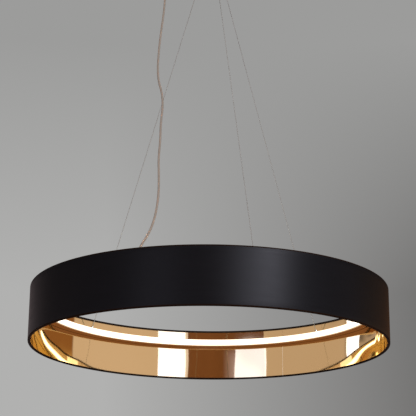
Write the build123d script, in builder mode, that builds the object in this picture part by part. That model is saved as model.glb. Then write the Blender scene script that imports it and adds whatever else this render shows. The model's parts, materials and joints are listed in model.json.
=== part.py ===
# LED ring pendant: a drum shade with a lit inner ring, hung on three steel wires from a round ceiling canopy.
# Millimetres. The origin is the centre of the canopy's ceiling face, +Z points up into the ceiling.
# Angles go round the vertical axis, counted from +X.

import os
from math import atan2, cos, hypot, pi, radians, sin, sqrt, tan

from build123d import *

os.makedirs("parts", exist_ok=True)

# General clearances
FIT = 0.1  # between pieces that are assembled together
SLIP = 0.08  # radial play of the swivel heads in their sockets

# Hanging height and its adjustment
DROP = 950.0  # canopy's underside to the shade's lower edge
LIFT = 250.0  # how far the wire grips can raise the shade

# Drum shade
SHADE_R = 400.0  # outside radius
SHADE_H = 124.0
LAMINATE_T = 1.2
LINER_T = 0.5
RIM_WIRE_D = 2.4
ROLL_GAP = 0.7  # fabric margin between the rim wire and the edge rolled round it
HEM_LEG = 2.2  # rolled edge below the rim wire's centre

# Light channel on the inside of the shade
CHANNEL_DROP = 27.0  # shade's upper edge to the channel's top
CHANNEL_H = 15.5
CHANNEL_DEPTH = 21.0
CHANNEL_WALL = 1.6
TAPE_T = 1.0
TAPE_H = 12.0
STRIP_T = 0.4
STRIP_H = 10.0
CHIP_L = 3.5
CHIP_H = 2.8
CHIP_T = 0.8
CHIP_PITCH = 16.7
DIFFUSER_T = 4.0
DIFFUSER_LEG = 3.0
DIFFUSER_LEG_T = 1.0

# Butt joint of the rolled channel
JOINT_ANGLE = -15.0
JOINT_GAP = 0.3
JOINER_L = 40.0
JOINER_W = 8.0
JOINER_T = 1.5
JOINER_SCREW_PITCH = 24.0
JOINER_SCREW_R = 1.5
JOINER_HEAD_R = 2.6
JOINER_HEAD_H = 1.6

# Suspension wires and their lower anchors
WIRE_ANGLES = (47.2, 137.4, -76.7)
WIRE_D = 1.5
WIRE_BALL_R = 1.6
WIRE_NIP = 0.03  # wire to what is crimped or clamped on it
POST_WALL = 1.5
POST_H = 7.0
POST_CHAMFER = 0.6
STUD_WALL = 0.8
STUD_SPARE = 0.8
BALL_RISE = 3.5  # channel's top to the wire ball's centre
ANCHOR_SWING = 0.5  # room for the wire's swing in the anchor
ANCHOR_NUT_FLAT = 8.0
ANCHOR_NUT_H = 4.0

# Canopy
CANOPY_R = 130.0
CANOPY_H = 40.0
CANOPY_T = 1.2
CANOPY_EDGE_R = 5.0

# Ceiling bracket, a hat section under the ceiling
BRACKET_W = 40.0
BRACKET_T = 2.0
BRIDGE_L = 100.0
BRIDGE_DROP = 14.0
SLOT_SPACING = 160.0
SLOT_L = 20.0
SLOT_W = 5.5
SLOT_MARGIN = 6.0
EARTH_INSET = 8.0
EARTH_SCREW_R = 2.0
EARTH_HEAD_R = 4.0
EARTH_HEAD_H = 2.4

# Threaded nipple that carries the hub
NIPPLE_R = 5.0
NIPPLE_WALL = 1.8
NIPPLE_SPARE = 1.5
NIPPLE_NUT_FLAT = 17.0
NIPPLE_NUT_H = 6.0
FINIAL_WALL = 4.0
FINIAL_GRIP = 5.0
FINIAL_ROOF = 4.0
FINIAL_EDGE_R = 2.5

# Suspension hub under the canopy, with one ball socket for each wire grip
HUB_R = 46.0
HUB_H = 16.0
HUB_EDGE_R = 2.0
SEAT_RING_R = 28.0
SEAT_DEPTH = 7.0
HUB_SCREW_RING_R = 36.0
HUB_SCREW_R = 2.0
HUB_SCREW_L = 10.0
HUB_HEAD_R = 3.5
HUB_HEAD_H = 2.4

# Wire grips, measured along the wire from the centre of the swivel head
HEAD_R = 6.0
NECK_R = 3.0
NECK_SWING = 1.6
SHOULDER_GAP = 1.0
WIRE_HOLE_GAP = 0.35
GRIP_L = 20.0
GRIP_ROOF = 3.0
GRIP_WALL = 2.0
GRIP_CHAMFER = 0.8
CAP_H = 4.0
CAP_WALL = 1.2
SPIGOT_L = 8.0
TAPER_SLOPE = 0.13
GRIP_BALL_R = 1.1
GRIP_BALL_COUNT = 3
PLUNGER_STEP = 0.5
PLUNGER_HEAD_H = 2.0
PLUNGER_OUT = 6.5
SPRING_WALL = 1.2

# Driver, terminal block and their weld studs on the canopy's floor
DRIVER_L = 140.0
DRIVER_W = 40.0
DRIVER_H = 24.0
DRIVER_GAP = 8.0  # to the cover's side wall
DRIVER_EDGE_R = 2.0
EAR_L = 10.0
EAR_W = 18.0
EAR_T = 3.0
WELD_STUD_R = 1.5
WELD_STUD_SPARE = 1.6
STUD_HOLE_GAP = 0.3
STUD_NUT_FLAT = 5.5
STUD_NUT_H = 2.4
TERMINAL_X = 10.0
TERMINAL_INSET = 48.0  # from the cover's edge
TERMINAL_W = 20.0
TERMINAL_H = 14.0
TERMINAL_POLES = 3
TERMINAL_PITCH = 14.0
TERMINAL_SCREW_R = 1.5
TERMINAL_SCREW_L = 4.0
TERMINAL_HEAD_R = 2.4
TERMINAL_HEAD_H = 1.5
TERMINAL_ENTRY_R = 2.0
TERMINAL_ENTRY_L = 8.0
TERMINAL_ENTRY_Z = 6.0

# Power cord, its gland in the canopy and its bush in the channel
CORD_D = 4.5
GLAND_ANGLE = -159.1
GLAND_INSET = 12.25  # from the cover's edge
GLAND_WALL = 2.4
GLAND_FLANGE = 2.6
GLAND_FLANGE_H = 3.0
GLAND_NOSE_H = 9.0
GLAND_NOSE_WALL = 1.8
GLAND_SPARE = 1.2
GLAND_NUT_WALL = 2.4
GLAND_NUT_H = 4.0
CONNECTOR_L = 18.0
CONNECTOR_W = 12.0
CONNECTOR_H = 10.0
CORD_ANGLE = -112.0
BUSH_WALL = 1.15
BUSH_FLANGE = 1.5
BUSH_FLANGE_H = 2.0
BUSH_NOSE_H = 7.0
BUSH_NOSE_WALL = 0.9
BUSH_LIP = 0.5
BUSH_LIP_H = 2.0
CORD_TAIL = 1.0  # cord past the bush, inside the channel
CORD_LEAD = 39.0  # straight cord from its connector down through the gland
CORD_RISE = 22.0  # straight cord above the channel
STRIP_CONNECTOR_L = 14.0
STRIP_CONNECTOR_W = 9.0
ARC_SHARE = 0.45  # part of the shorter run that a bend takes up

# The cord's free run between the gland and the bush, chosen by hand from the photographed bends
CORD_BENDS = (
    (-110, -46, -142),
    (-113, -56, -201),
    (-118, -72, -257),
    (-121, -92, -311),
    (-122, -114, -364),
    (-119, -132, -405),
    (-109, -150, -444),
    (-106, -172, -485),
    (-109, -198, -535),
    (-108, -226, -586),
    (-110, -253, -636),
    (-108, -279, -687),
    (-109, -303, -737),
    (-116, -324, -787),
    (-128, -339, -827),
)

# Heights
Z_CANOPY = -CANOPY_H
Z_FLOOR = Z_CANOPY + CANOPY_T
Z_BRIDGE = -BRIDGE_DROP
Z_BRIDGE_UNDER = Z_BRIDGE - BRACKET_T
Z_HUB_UNDER = Z_CANOPY - HUB_H
Z_SEAT = Z_CANOPY - SEAT_DEPTH
Z_SHADE_LOW = Z_CANOPY - DROP
Z_SHADE_TOP = Z_SHADE_LOW + SHADE_H
Z_CHANNEL_TOP = Z_SHADE_TOP - CHANNEL_DROP
Z_CHANNEL_LOW = Z_CHANNEL_TOP - CHANNEL_H
Z_CAVITY_TOP = Z_CHANNEL_TOP - CHANNEL_WALL
Z_CAVITY_LOW = Z_CHANNEL_LOW + CHANNEL_WALL
Z_CHANNEL_MID = (Z_CHANNEL_TOP + Z_CHANNEL_LOW) / 2
Z_WIRE_BALL = Z_CHANNEL_TOP + BALL_RISE
Z_CORD_END = Z_CAVITY_TOP - FIT - BUSH_LIP_H - CORD_TAIL

# Radii of the shade's layers, from the outside in
ROLL_IN_R = RIM_WIRE_D / 2 + ROLL_GAP
ROLL_OUT_R = ROLL_IN_R + LAMINATE_T
RIM_RING_R = SHADE_R - ROLL_OUT_R
LINER_OUT_R = SHADE_R - LAMINATE_T - FIT
LINER_IN_R = LINER_OUT_R - LINER_T
TAPE_OUT_R = LINER_IN_R - FIT
TAPE_IN_R = TAPE_OUT_R - TAPE_T
CHANNEL_OUT_R = TAPE_IN_R - FIT
CHANNEL_IN_R = CHANNEL_OUT_R - CHANNEL_DEPTH
CHANNEL_MID_R = (CHANNEL_OUT_R + CHANNEL_IN_R) / 2
CAVITY_R = CHANNEL_OUT_R - CHANNEL_WALL
STRIP_OUT_R = CAVITY_R - FIT
STRIP_IN_R = STRIP_OUT_R - STRIP_T
CHIP_RING_R = STRIP_IN_R - FIT - CHIP_T / 2
CHIP_COUNT = round(2 * pi * CHIP_RING_R / CHIP_PITCH)
DIFFUSER_OUT_R = CHANNEL_IN_R - FIT
DIFFUSER_IN_R = DIFFUSER_OUT_R - DIFFUSER_T

# Wire anchors
ANCHOR_BORE_R = WIRE_BALL_R + FIT
POST_R = ANCHOR_BORE_R + POST_WALL
STUD_R = ANCHOR_BORE_R + STUD_WALL
STUD_L = CHANNEL_WALL + ANCHOR_NUT_H + STUD_SPARE

# Wire grips: the clamping taper is set by the wire and the balls, and the rest follows from it
WIRE_RUN = CHANNEL_MID_R - SEAT_RING_R
WIRE_FALL = Z_SEAT - Z_WIRE_BALL
WIRE_L = hypot(WIRE_RUN, WIRE_FALL)
TILT_LOW = atan2(WIRE_RUN, WIRE_FALL)
TILT_HIGH = atan2(WIRE_RUN, WIRE_FALL - LIFT)
TILT_MID = (TILT_LOW + TILT_HIGH) / 2
WIRE_HOLE_R = WIRE_D / 2 + WIRE_HOLE_GAP
GRIP_BALL_RING_R = WIRE_D / 2 + GRIP_BALL_R + WIRE_NIP
BALL_TO_CAP = FIT + PLUNGER_HEAD_H + WIRE_NIP + GRIP_BALL_R
TAPER_AT_BALL_R = GRIP_BALL_RING_R + (GRIP_BALL_R + WIRE_NIP) * hypot(1, TAPER_SLOPE)
TAPER_LOW_R = TAPER_AT_BALL_R - BALL_TO_CAP * TAPER_SLOPE
TAPER_TOP_R = TAPER_LOW_R + SPIGOT_L * TAPER_SLOPE
PLUNGER_HEAD_R = TAPER_LOW_R - FIT
PLUNGER_R = PLUNGER_HEAD_R - PLUNGER_STEP
SPIGOT_R = TAPER_TOP_R + CAP_WALL
CHAMBER_R = SPIGOT_R + FIT
GRIP_R = CHAMBER_R + GRIP_WALL
SHOULDER_ROOM = Z_SEAT - Z_HUB_UNDER + SHOULDER_GAP
SHOULDER = (SHOULDER_ROOM + GRIP_R * sin(TILT_HIGH)) / cos(TILT_HIGH)
CHAMBER_S = SHOULDER + GRIP_ROOF
CAP_S = SHOULDER + GRIP_L
BALL_S = CAP_S - BALL_TO_CAP
SPRING_S = CHAMBER_S + FIT
SPRING_L = BALL_S - GRIP_BALL_R - FIT - SPRING_S

# Driver and terminal block, placed from the cover's side wall
DRIVER_ROOM_R = CANOPY_R - CANOPY_T - DRIVER_GAP
DRIVER_Y = sqrt(DRIVER_ROOM_R**2 - (DRIVER_L / 2) ** 2) - DRIVER_W / 2
TERMINAL_Y = TERMINAL_INSET - CANOPY_R

# Cord holes and weld studs
CORD_HOLE_R = CORD_D / 2 + FIT
GLAND_R = CORD_HOLE_R + GLAND_WALL
GLAND_TOP = CANOPY_T + GLAND_NUT_H + GLAND_SPARE
BUSH_R = CORD_HOLE_R + BUSH_WALL
TERMINAL_L = TERMINAL_POLES * TERMINAL_PITCH
WELD_STUDS = (
    (-(DRIVER_L + EAR_L) / 2, DRIVER_Y),
    ((DRIVER_L + EAR_L) / 2, DRIVER_Y),
    (TERMINAL_X - (TERMINAL_L + EAR_L) / 2, TERMINAL_Y),
    (TERMINAL_X + (TERMINAL_L + EAR_L) / 2, TERMINAL_Y),
)
HUB_SCREW_ANGLES = [
    (WIRE_ANGLES[0] + WIRE_ANGLES[1]) / 2,
    (WIRE_ANGLES[1] + WIRE_ANGLES[2] + 360) / 2,
    (WIRE_ANGLES[2] + WIRE_ANGLES[0]) / 2,
]

UPWARD = (Align.CENTER, Align.CENTER, Align.MIN)
DOWNWARD = (Align.CENTER, Align.CENTER, Align.MAX)


def ring_point(radius, angle, z=0.0):
    """Point at a radius and an angle round the vertical axis."""
    return Vector(radius * cos(radians(angle)), radius * sin(radians(angle)), z)


def wire_plane(angle):
    """Plane at a swivel head's centre, its Z along the wire down to the ring."""
    head = ring_point(SEAT_RING_R, angle, Z_SEAT)
    foot = ring_point(CHANNEL_MID_R, angle, Z_WIRE_BALL)
    return Plane(head, x_dir=ring_point(1, angle + 90), z_dir=foot - head)


def tilted(angle, tilt):
    """Direction from the hub outwards and down, at a tilt from the vertical."""
    return ring_point(sin(tilt), angle, -cos(tilt))


def band(r_in, r_out, z_low, z_high, mode=Mode.ADD):
    """Rectangle in the radius and height plane, for the sketch that is open."""
    with Locations(((r_in + r_out) / 2, (z_low + z_high) / 2)):
        Rectangle(r_out - r_in, z_high - z_low, mode=mode)


def hex_nut(flat, hole_r):
    """Nut outline for the sketch that is open, at each of its locations."""
    RegularPolygon(flat / 2, 6, major_radius=False)
    Circle(hole_r, mode=Mode.SUBTRACT)


def pan_screw(head_r, head_h, shank_r, shank_l):
    """Screw for the part that is open, its head standing on the local origin."""
    Cylinder(head_r, head_h, align=UPWARD)
    Cylinder(shank_r, shank_l, align=DOWNWARD)


def save(builder, node):
    """Labels a finished piece and writes it as one STEP file."""
    builder.part.label = node
    export_step(builder.part, f"parts/{node}.step")


# Shade: black laminate with its edges rolled inwards round the rim wires
with BuildPart() as shade_outer:
    with BuildSketch(Plane.XZ):
        with BuildLine():
            top_z = Z_SHADE_TOP - ROLL_OUT_R
            low_z = Z_SHADE_LOW + ROLL_OUT_R
            wall_out = Line((SHADE_R, low_z), (SHADE_R, top_z))
            top_out = ThreePointArc(wall_out @ 1, (RIM_RING_R, Z_SHADE_TOP), (RIM_RING_R - ROLL_OUT_R, top_z))
            top_leg = Polyline(
                top_out @ 1,
                (RIM_RING_R - ROLL_OUT_R, top_z - HEM_LEG),
                (RIM_RING_R - ROLL_IN_R, top_z - HEM_LEG),
                (RIM_RING_R - ROLL_IN_R, top_z),
            )
            top_in = ThreePointArc(top_leg @ 1, (RIM_RING_R, top_z + ROLL_IN_R), (RIM_RING_R + ROLL_IN_R, top_z))
            wall_in = Line(top_in @ 1, (RIM_RING_R + ROLL_IN_R, low_z))
            low_in = ThreePointArc(wall_in @ 1, (RIM_RING_R, low_z - ROLL_IN_R), (RIM_RING_R - ROLL_IN_R, low_z))
            low_leg = Polyline(
                low_in @ 1,
                (RIM_RING_R - ROLL_IN_R, low_z + HEM_LEG),
                (RIM_RING_R - ROLL_OUT_R, low_z + HEM_LEG),
                (RIM_RING_R - ROLL_OUT_R, low_z),
            )
            ThreePointArc(low_leg @ 1, (RIM_RING_R, Z_SHADE_LOW), wall_out @ 0)
        make_face()
    revolve(axis=Axis.Z)
save(shade_outer, "shade_outer")

with BuildPart() as gold_liner:
    with BuildSketch(Plane.XZ):
        band(LINER_IN_R, LINER_OUT_R, low_z + ROLL_IN_R, top_z - ROLL_IN_R)
    revolve(axis=Axis.Z)
save(gold_liner, "gold_liner")

for node, rim_z in (("rim_wire_top", top_z), ("rim_wire_bottom", low_z)):
    with BuildPart() as rim_wire:
        with BuildSketch(Plane.XZ):
            with Locations((RIM_RING_R, rim_z)):
                Circle(RIM_WIRE_D / 2)
        revolve(axis=Axis.Z)
    save(rim_wire, node)

# Light ring: taped channel, flexible strip with its chips, and the diffuser
with BuildPart() as mounting_tape:
    with BuildSketch(Plane.XZ):
        band(TAPE_IN_R, TAPE_OUT_R, Z_CHANNEL_MID - TAPE_H / 2, Z_CHANNEL_MID + TAPE_H / 2)
    revolve(axis=Axis.Z)
save(mounting_tape, "mounting_tape")

joint_step = JOINER_SCREW_PITCH / 2 / CHANNEL_MID_R * 180 / pi
JOINER_SCREWS = [
    ring_point(CHANNEL_MID_R, JOINT_ANGLE + side * joint_step, Z_CHANNEL_TOP) for side in (-1, 1)
]
ANCHORS = [ring_point(CHANNEL_MID_R, angle, Z_CHANNEL_TOP) for angle in WIRE_ANGLES]
BUSH_POINT = ring_point(CHANNEL_MID_R, CORD_ANGLE, Z_CHANNEL_TOP)

with BuildPart() as led_channel:
    with BuildSketch(Plane.XZ):
        band(CHANNEL_IN_R, CHANNEL_OUT_R, Z_CHANNEL_LOW, Z_CHANNEL_TOP)
        band(CHANNEL_IN_R, CAVITY_R, Z_CAVITY_LOW, Z_CAVITY_TOP, mode=Mode.SUBTRACT)
    revolve(axis=Axis.Z)
    with Locations(*ANCHORS):
        Cylinder(STUD_R + FIT, CHANNEL_WALL, align=DOWNWARD, mode=Mode.SUBTRACT)
    with Locations(BUSH_POINT):
        Cylinder(BUSH_R + FIT, CHANNEL_WALL, align=DOWNWARD, mode=Mode.SUBTRACT)
    with Locations(*JOINER_SCREWS):
        Cylinder(JOINER_SCREW_R + FIT, CHANNEL_WALL, align=DOWNWARD, mode=Mode.SUBTRACT)
    with Locations(Location(ring_point(CHANNEL_MID_R, JOINT_ANGLE, Z_CHANNEL_MID), (0, 0, JOINT_ANGLE))):
        Box(CHANNEL_DEPTH + FIT, JOINT_GAP, CHANNEL_H + FIT, mode=Mode.SUBTRACT)
save(led_channel, "led_channel")

with BuildPart() as channel_joiner:
    half_turn = JOINER_L / 2 / CHANNEL_MID_R * 180 / pi
    start = JOINT_ANGLE - half_turn
    with BuildSketch(Plane((0, 0, 0), x_dir=ring_point(1, start), z_dir=ring_point(1, start - 90))):
        joiner_top = Z_CAVITY_TOP - FIT
        band(CHANNEL_MID_R - JOINER_W / 2, CHANNEL_MID_R + JOINER_W / 2, joiner_top - JOINER_T, joiner_top)
    revolve(axis=Axis.Z, revolution_arc=2 * half_turn)
    with Locations(*JOINER_SCREWS):
        Cylinder(
            JOINER_SCREW_R + FIT, CHANNEL_WALL + FIT + JOINER_T, align=DOWNWARD, mode=Mode.SUBTRACT
        )
save(channel_joiner, "channel_joiner")

with BuildPart() as joiner_screws:
    with Locations(*JOINER_SCREWS):
        pan_screw(JOINER_HEAD_R, JOINER_HEAD_H, JOINER_SCREW_R, CHANNEL_WALL + FIT + JOINER_T)
save(joiner_screws, "joiner_screws")

with BuildPart() as led_strip:
    with BuildSketch(Plane.XZ):
        band(STRIP_IN_R, STRIP_OUT_R, Z_CHANNEL_MID - STRIP_H / 2, Z_CHANNEL_MID + STRIP_H / 2)
    revolve(axis=Axis.Z)
save(led_strip, "led_strip")

with BuildPart(Plane.XY.offset(Z_CHANNEL_MID)) as led_chips:
    with PolarLocations(CHIP_RING_R, CHIP_COUNT):
        Box(CHIP_T, CHIP_L, CHIP_H)
save(led_chips, "led_chips")

with BuildPart() as diffuser:
    with BuildSketch(Plane.XZ):
        band(DIFFUSER_IN_R, DIFFUSER_OUT_R, Z_CHANNEL_LOW, Z_CHANNEL_TOP)
        leg_top = Z_CAVITY_TOP - FIT
        leg_low = Z_CAVITY_LOW + FIT
        leg_end = CHANNEL_IN_R + DIFFUSER_LEG
        band(DIFFUSER_OUT_R, leg_end, leg_top - DIFFUSER_LEG_T, leg_top)
        band(DIFFUSER_OUT_R, leg_end, leg_low, leg_low + DIFFUSER_LEG_T)
    revolve(axis=Axis.Z)
save(diffuser, "diffuser")

# Wire anchors on the channel: hollow posts that each hold a ball crimped on the wire
for n, (angle, foot) in enumerate(zip(WIRE_ANGLES, ANCHORS), 1):
    with BuildPart(Plane(foot)) as wire_anchor:
        Cylinder(POST_R, POST_H, align=UPWARD)
        chamfer(wire_anchor.faces().sort_by(Axis.Z)[-1].edges(), length=POST_CHAMFER)
        Cylinder(STUD_R, STUD_L, align=DOWNWARD)
        with Locations((0, 0, BALL_RISE)):
            Sphere(ANCHOR_BORE_R, mode=Mode.SUBTRACT)
            Cylinder(ANCHOR_BORE_R, BALL_RISE + STUD_L, align=DOWNWARD, mode=Mode.SUBTRACT)
        with Locations(Plane((0, 0, BALL_RISE), z_dir=tilted(angle, TILT_MID) * -1)):
            Cylinder(WIRE_D / 2 + ANCHOR_SWING, 2 * POST_H, align=UPWARD, mode=Mode.SUBTRACT)
    save(wire_anchor, f"wire_anchor_{n}")

    with BuildPart(Plane(ring_point(CHANNEL_MID_R, angle, Z_WIRE_BALL), z_dir=tilted(angle, TILT_LOW) * -1)) as wire_ball:
        Sphere(WIRE_BALL_R)
        Cylinder(WIRE_D / 2 + WIRE_NIP, 2 * WIRE_BALL_R, align=UPWARD, mode=Mode.SUBTRACT)
    save(wire_ball, f"wire_ball_{n}")

with BuildPart() as anchor_nuts:
    with BuildSketch(Plane.XY.offset(Z_CAVITY_TOP)):
        with Locations(*[(foot.X, foot.Y) for foot in ANCHORS]):
            hex_nut(ANCHOR_NUT_FLAT, STUD_R + FIT)
    extrude(amount=-ANCHOR_NUT_H)
save(anchor_nuts, "anchor_nuts")

# Canopy cover with its weld studs, and the bracket that the ceiling screws hold
SEATS = [ring_point(SEAT_RING_R, angle, Z_SEAT) for angle in WIRE_ANGLES]
HUB_SCREWS = [ring_point(HUB_SCREW_RING_R, angle, Z_FLOOR) for angle in HUB_SCREW_ANGLES]
GLAND_POINT = ring_point(CANOPY_R - GLAND_INSET, GLAND_ANGLE, Z_CANOPY)

with BuildPart() as canopy_cover:
    with BuildSketch(Plane.XZ) as cover_outside:
        band(0, CANOPY_R, Z_CANOPY, 0)
        fillet(cover_outside.vertices().sort_by(Axis.Y)[:2].sort_by(Axis.X)[-1], CANOPY_EDGE_R)
    revolve(axis=Axis.Z)
    with BuildSketch(Plane.XZ) as cover_inside:
        band(0, CANOPY_R - CANOPY_T, Z_FLOOR, 0)
        fillet(cover_inside.vertices().sort_by(Axis.Y)[:2].sort_by(Axis.X)[-1], CANOPY_EDGE_R - CANOPY_T)
    revolve(axis=Axis.Z, mode=Mode.SUBTRACT)
    with Locations((0, 0, Z_FLOOR)):
        Cylinder(NIPPLE_R + FIT, CANOPY_T, align=DOWNWARD, mode=Mode.SUBTRACT)
    with Locations((GLAND_POINT.X, GLAND_POINT.Y, Z_FLOOR)):
        Cylinder(GLAND_R + FIT, CANOPY_T, align=DOWNWARD, mode=Mode.SUBTRACT)
    with Locations(*[(seat.X, seat.Y, Z_FLOOR) for seat in SEATS]):
        Cylinder(HEAD_R + SLIP, CANOPY_T, align=DOWNWARD, mode=Mode.SUBTRACT)
    with Locations(*HUB_SCREWS):
        Cylinder(HUB_SCREW_R + FIT, CANOPY_T, align=DOWNWARD, mode=Mode.SUBTRACT)
    with Locations(*[(x, y, Z_FLOOR) for x, y in WELD_STUDS]):
        Cylinder(WELD_STUD_R, EAR_T + STUD_NUT_H + WELD_STUD_SPARE, align=UPWARD)
save(canopy_cover, "canopy_cover")

bridge_x = BRIDGE_L / 2
foot_x = SLOT_SPACING / 2 + SLOT_L / 2 + SLOT_MARGIN
earth_point = Vector(-bridge_x - EARTH_INSET, BRACKET_W / 2 - EARTH_INSET, -BRACKET_T)

with BuildPart() as ceiling_bracket:
    with BuildSketch(Plane.XZ):
        with BuildLine():
            Polyline(
                (foot_x, 0),
                (bridge_x - BRACKET_T, 0),
                (bridge_x - BRACKET_T, Z_BRIDGE),
                (BRACKET_T - bridge_x, Z_BRIDGE),
                (BRACKET_T - bridge_x, 0),
                (-foot_x, 0),
                (-foot_x, -BRACKET_T),
                (-bridge_x, -BRACKET_T),
                (-bridge_x, Z_BRIDGE_UNDER),
                (bridge_x, Z_BRIDGE_UNDER),
                (bridge_x, -BRACKET_T),
                (foot_x, -BRACKET_T),
                close=True,
            )
        make_face()
    extrude(amount=BRACKET_W / 2, both=True)
    with BuildSketch(Plane.XY):
        with Locations((-SLOT_SPACING / 2, 0), (SLOT_SPACING / 2, 0)):
            SlotOverall(SLOT_L, SLOT_W)
    extrude(amount=-BRACKET_T, mode=Mode.SUBTRACT)
    with Locations((0, 0, Z_BRIDGE)):
        Cylinder(NIPPLE_R + FIT, BRACKET_T, align=DOWNWARD, mode=Mode.SUBTRACT)
    with Locations(earth_point):
        Cylinder(EARTH_SCREW_R + FIT, BRACKET_T, align=UPWARD, mode=Mode.SUBTRACT)
save(ceiling_bracket, "ceiling_bracket")

with BuildPart(Plane(earth_point, z_dir=(0, 0, -1))) as earth_screw:
    pan_screw(EARTH_HEAD_R, EARTH_HEAD_H, EARTH_SCREW_R, BRACKET_T - FIT)
save(earth_screw, "earth_screw")

# Nipple from the bracket to the hub, with its nuts
with BuildPart() as nipple:
    nipple_top = Z_BRIDGE + NIPPLE_NUT_H + NIPPLE_SPARE
    nipple_low = Z_HUB_UNDER - FINIAL_GRIP
    with BuildSketch(Plane.XY.offset(nipple_low)):
        Circle(NIPPLE_R)
        Circle(NIPPLE_R - NIPPLE_WALL, mode=Mode.SUBTRACT)
    extrude(amount=nipple_top - nipple_low)
save(nipple, "nipple")

with BuildPart() as nipple_nuts:
    for nut_z in (Z_BRIDGE, Z_BRIDGE_UNDER - NIPPLE_NUT_H, Z_FLOOR):
        with BuildSketch(Plane.XY.offset(nut_z)):
            hex_nut(NIPPLE_NUT_FLAT, NIPPLE_R + FIT)
        extrude(amount=NIPPLE_NUT_H)
save(nipple_nuts, "nipple_nuts")

with BuildPart(Plane.XY.offset(Z_HUB_UNDER)) as finial_nut:
    finial_r = NIPPLE_R + FIT + FINIAL_WALL
    Cylinder(finial_r, FINIAL_GRIP + FINIAL_ROOF, align=DOWNWARD)
    fillet(finial_nut.faces().sort_by(Axis.Z)[0].edges(), radius=FINIAL_EDGE_R)
    Cylinder(NIPPLE_R + FIT, FINIAL_GRIP + FIT, align=DOWNWARD, mode=Mode.SUBTRACT)
save(finial_nut, "finial_nut")

# Suspension hub: ball sockets that open upwards, each with a slanted way out for the grip's neck
with BuildPart(Plane.XY.offset(Z_CANOPY)) as suspension_hub:
    Cylinder(HUB_R, HUB_H, align=DOWNWARD)
    fillet(suspension_hub.faces().sort_by(Axis.Z)[0].edges(), radius=HUB_EDGE_R)
    Cylinder(NIPPLE_R + FIT, HUB_H, align=DOWNWARD, mode=Mode.SUBTRACT)
    for angle in WIRE_ANGLES:
        seat = ring_point(SEAT_RING_R, angle, -SEAT_DEPTH)
        with Locations(seat):
            Sphere(HEAD_R + SLIP, mode=Mode.SUBTRACT)
            Cylinder(HEAD_R + SLIP, SEAT_DEPTH, align=UPWARD, mode=Mode.SUBTRACT)
        with Locations(Plane(seat, z_dir=tilted(angle, TILT_MID))):
            Cylinder(NECK_R + NECK_SWING, 2 * HUB_H, align=UPWARD, mode=Mode.SUBTRACT)
    with Locations(*[ring_point(HUB_SCREW_RING_R, angle) for angle in HUB_SCREW_ANGLES]):
        Cylinder(HUB_SCREW_R + FIT, HUB_SCREW_L, align=DOWNWARD, mode=Mode.SUBTRACT)
save(suspension_hub, "suspension_hub")

with BuildPart() as hub_screws:
    with Locations(*HUB_SCREWS):
        pan_screw(HUB_HEAD_R, HUB_HEAD_H, HUB_SCREW_R, CANOPY_T + HUB_SCREW_L - FIT)
save(hub_screws, "hub_screws")

# Wire grips: swivel body, screwed cap with the clamping taper, spring, balls and release plunger
for n, angle in enumerate(WIRE_ANGLES, 1):
    along = wire_plane(angle)

    with BuildPart(along) as wire:
        Cylinder(WIRE_D / 2, WIRE_L, align=UPWARD)
    save(wire, f"wire_{n}")

    with BuildPart(along) as gripper_body:
        with Locations((0, 0, SHOULDER)):
            Cylinder(GRIP_R, GRIP_L, align=UPWARD)
        chamfer(gripper_body.edges().filter_by(GeomType.CIRCLE), length=GRIP_CHAMFER)
        Sphere(HEAD_R)
        Cylinder(NECK_R, SHOULDER, align=UPWARD)
        with Locations((0, 0, CHAMBER_S)):
            Cylinder(CHAMBER_R, GRIP_L - GRIP_ROOF, align=UPWARD, mode=Mode.SUBTRACT)
        with Locations((0, 0, -HEAD_R)):
            Cylinder(WIRE_HOLE_R, HEAD_R + CHAMBER_S, align=UPWARD, mode=Mode.SUBTRACT)
    save(gripper_body, f"gripper_body_{n}")

    with BuildPart(along) as gripper_cap:
        with Locations((0, 0, CAP_S)):
            Cylinder(GRIP_R, CAP_H, align=UPWARD)
        chamfer(gripper_cap.edges().filter_by(GeomType.CIRCLE), length=GRIP_CHAMFER)
        with Locations((0, 0, CAP_S - SPIGOT_L)):
            Cylinder(SPIGOT_R, SPIGOT_L, align=UPWARD)
            Cone(TAPER_TOP_R, TAPER_LOW_R, SPIGOT_L, align=UPWARD, mode=Mode.SUBTRACT)
        with Locations((0, 0, CAP_S)):
            Cylinder(PLUNGER_R + FIT, CAP_H, align=UPWARD, mode=Mode.SUBTRACT)
    save(gripper_cap, f"gripper_cap_{n}")

    with BuildPart(along) as gripper_spring:
        with Locations((0, 0, SPRING_S)):
            Cylinder(WIRE_HOLE_R + SPRING_WALL, SPRING_L, align=UPWARD)
            Cylinder(WIRE_HOLE_R, SPRING_L, align=UPWARD, mode=Mode.SUBTRACT)
    save(gripper_spring, f"gripper_spring_{n}")

    with BuildPart(along) as gripper_balls:
        with Locations((0, 0, BALL_S)):
            with PolarLocations(GRIP_BALL_RING_R, GRIP_BALL_COUNT):
                Sphere(GRIP_BALL_R)
    save(gripper_balls, f"gripper_balls_{n}")

    with BuildPart(along) as gripper_plunger:
        with Locations((0, 0, CAP_S - FIT - PLUNGER_HEAD_H)):
            Cylinder(PLUNGER_HEAD_R, PLUNGER_HEAD_H, align=UPWARD)
            Cylinder(PLUNGER_R, PLUNGER_HEAD_H + FIT + CAP_H + PLUNGER_OUT, align=UPWARD)
            Cylinder(WIRE_HOLE_R, 2 * (CAP_H + PLUNGER_OUT), align=UPWARD, mode=Mode.SUBTRACT)
    save(gripper_plunger, f"gripper_plunger_{n}")

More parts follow.
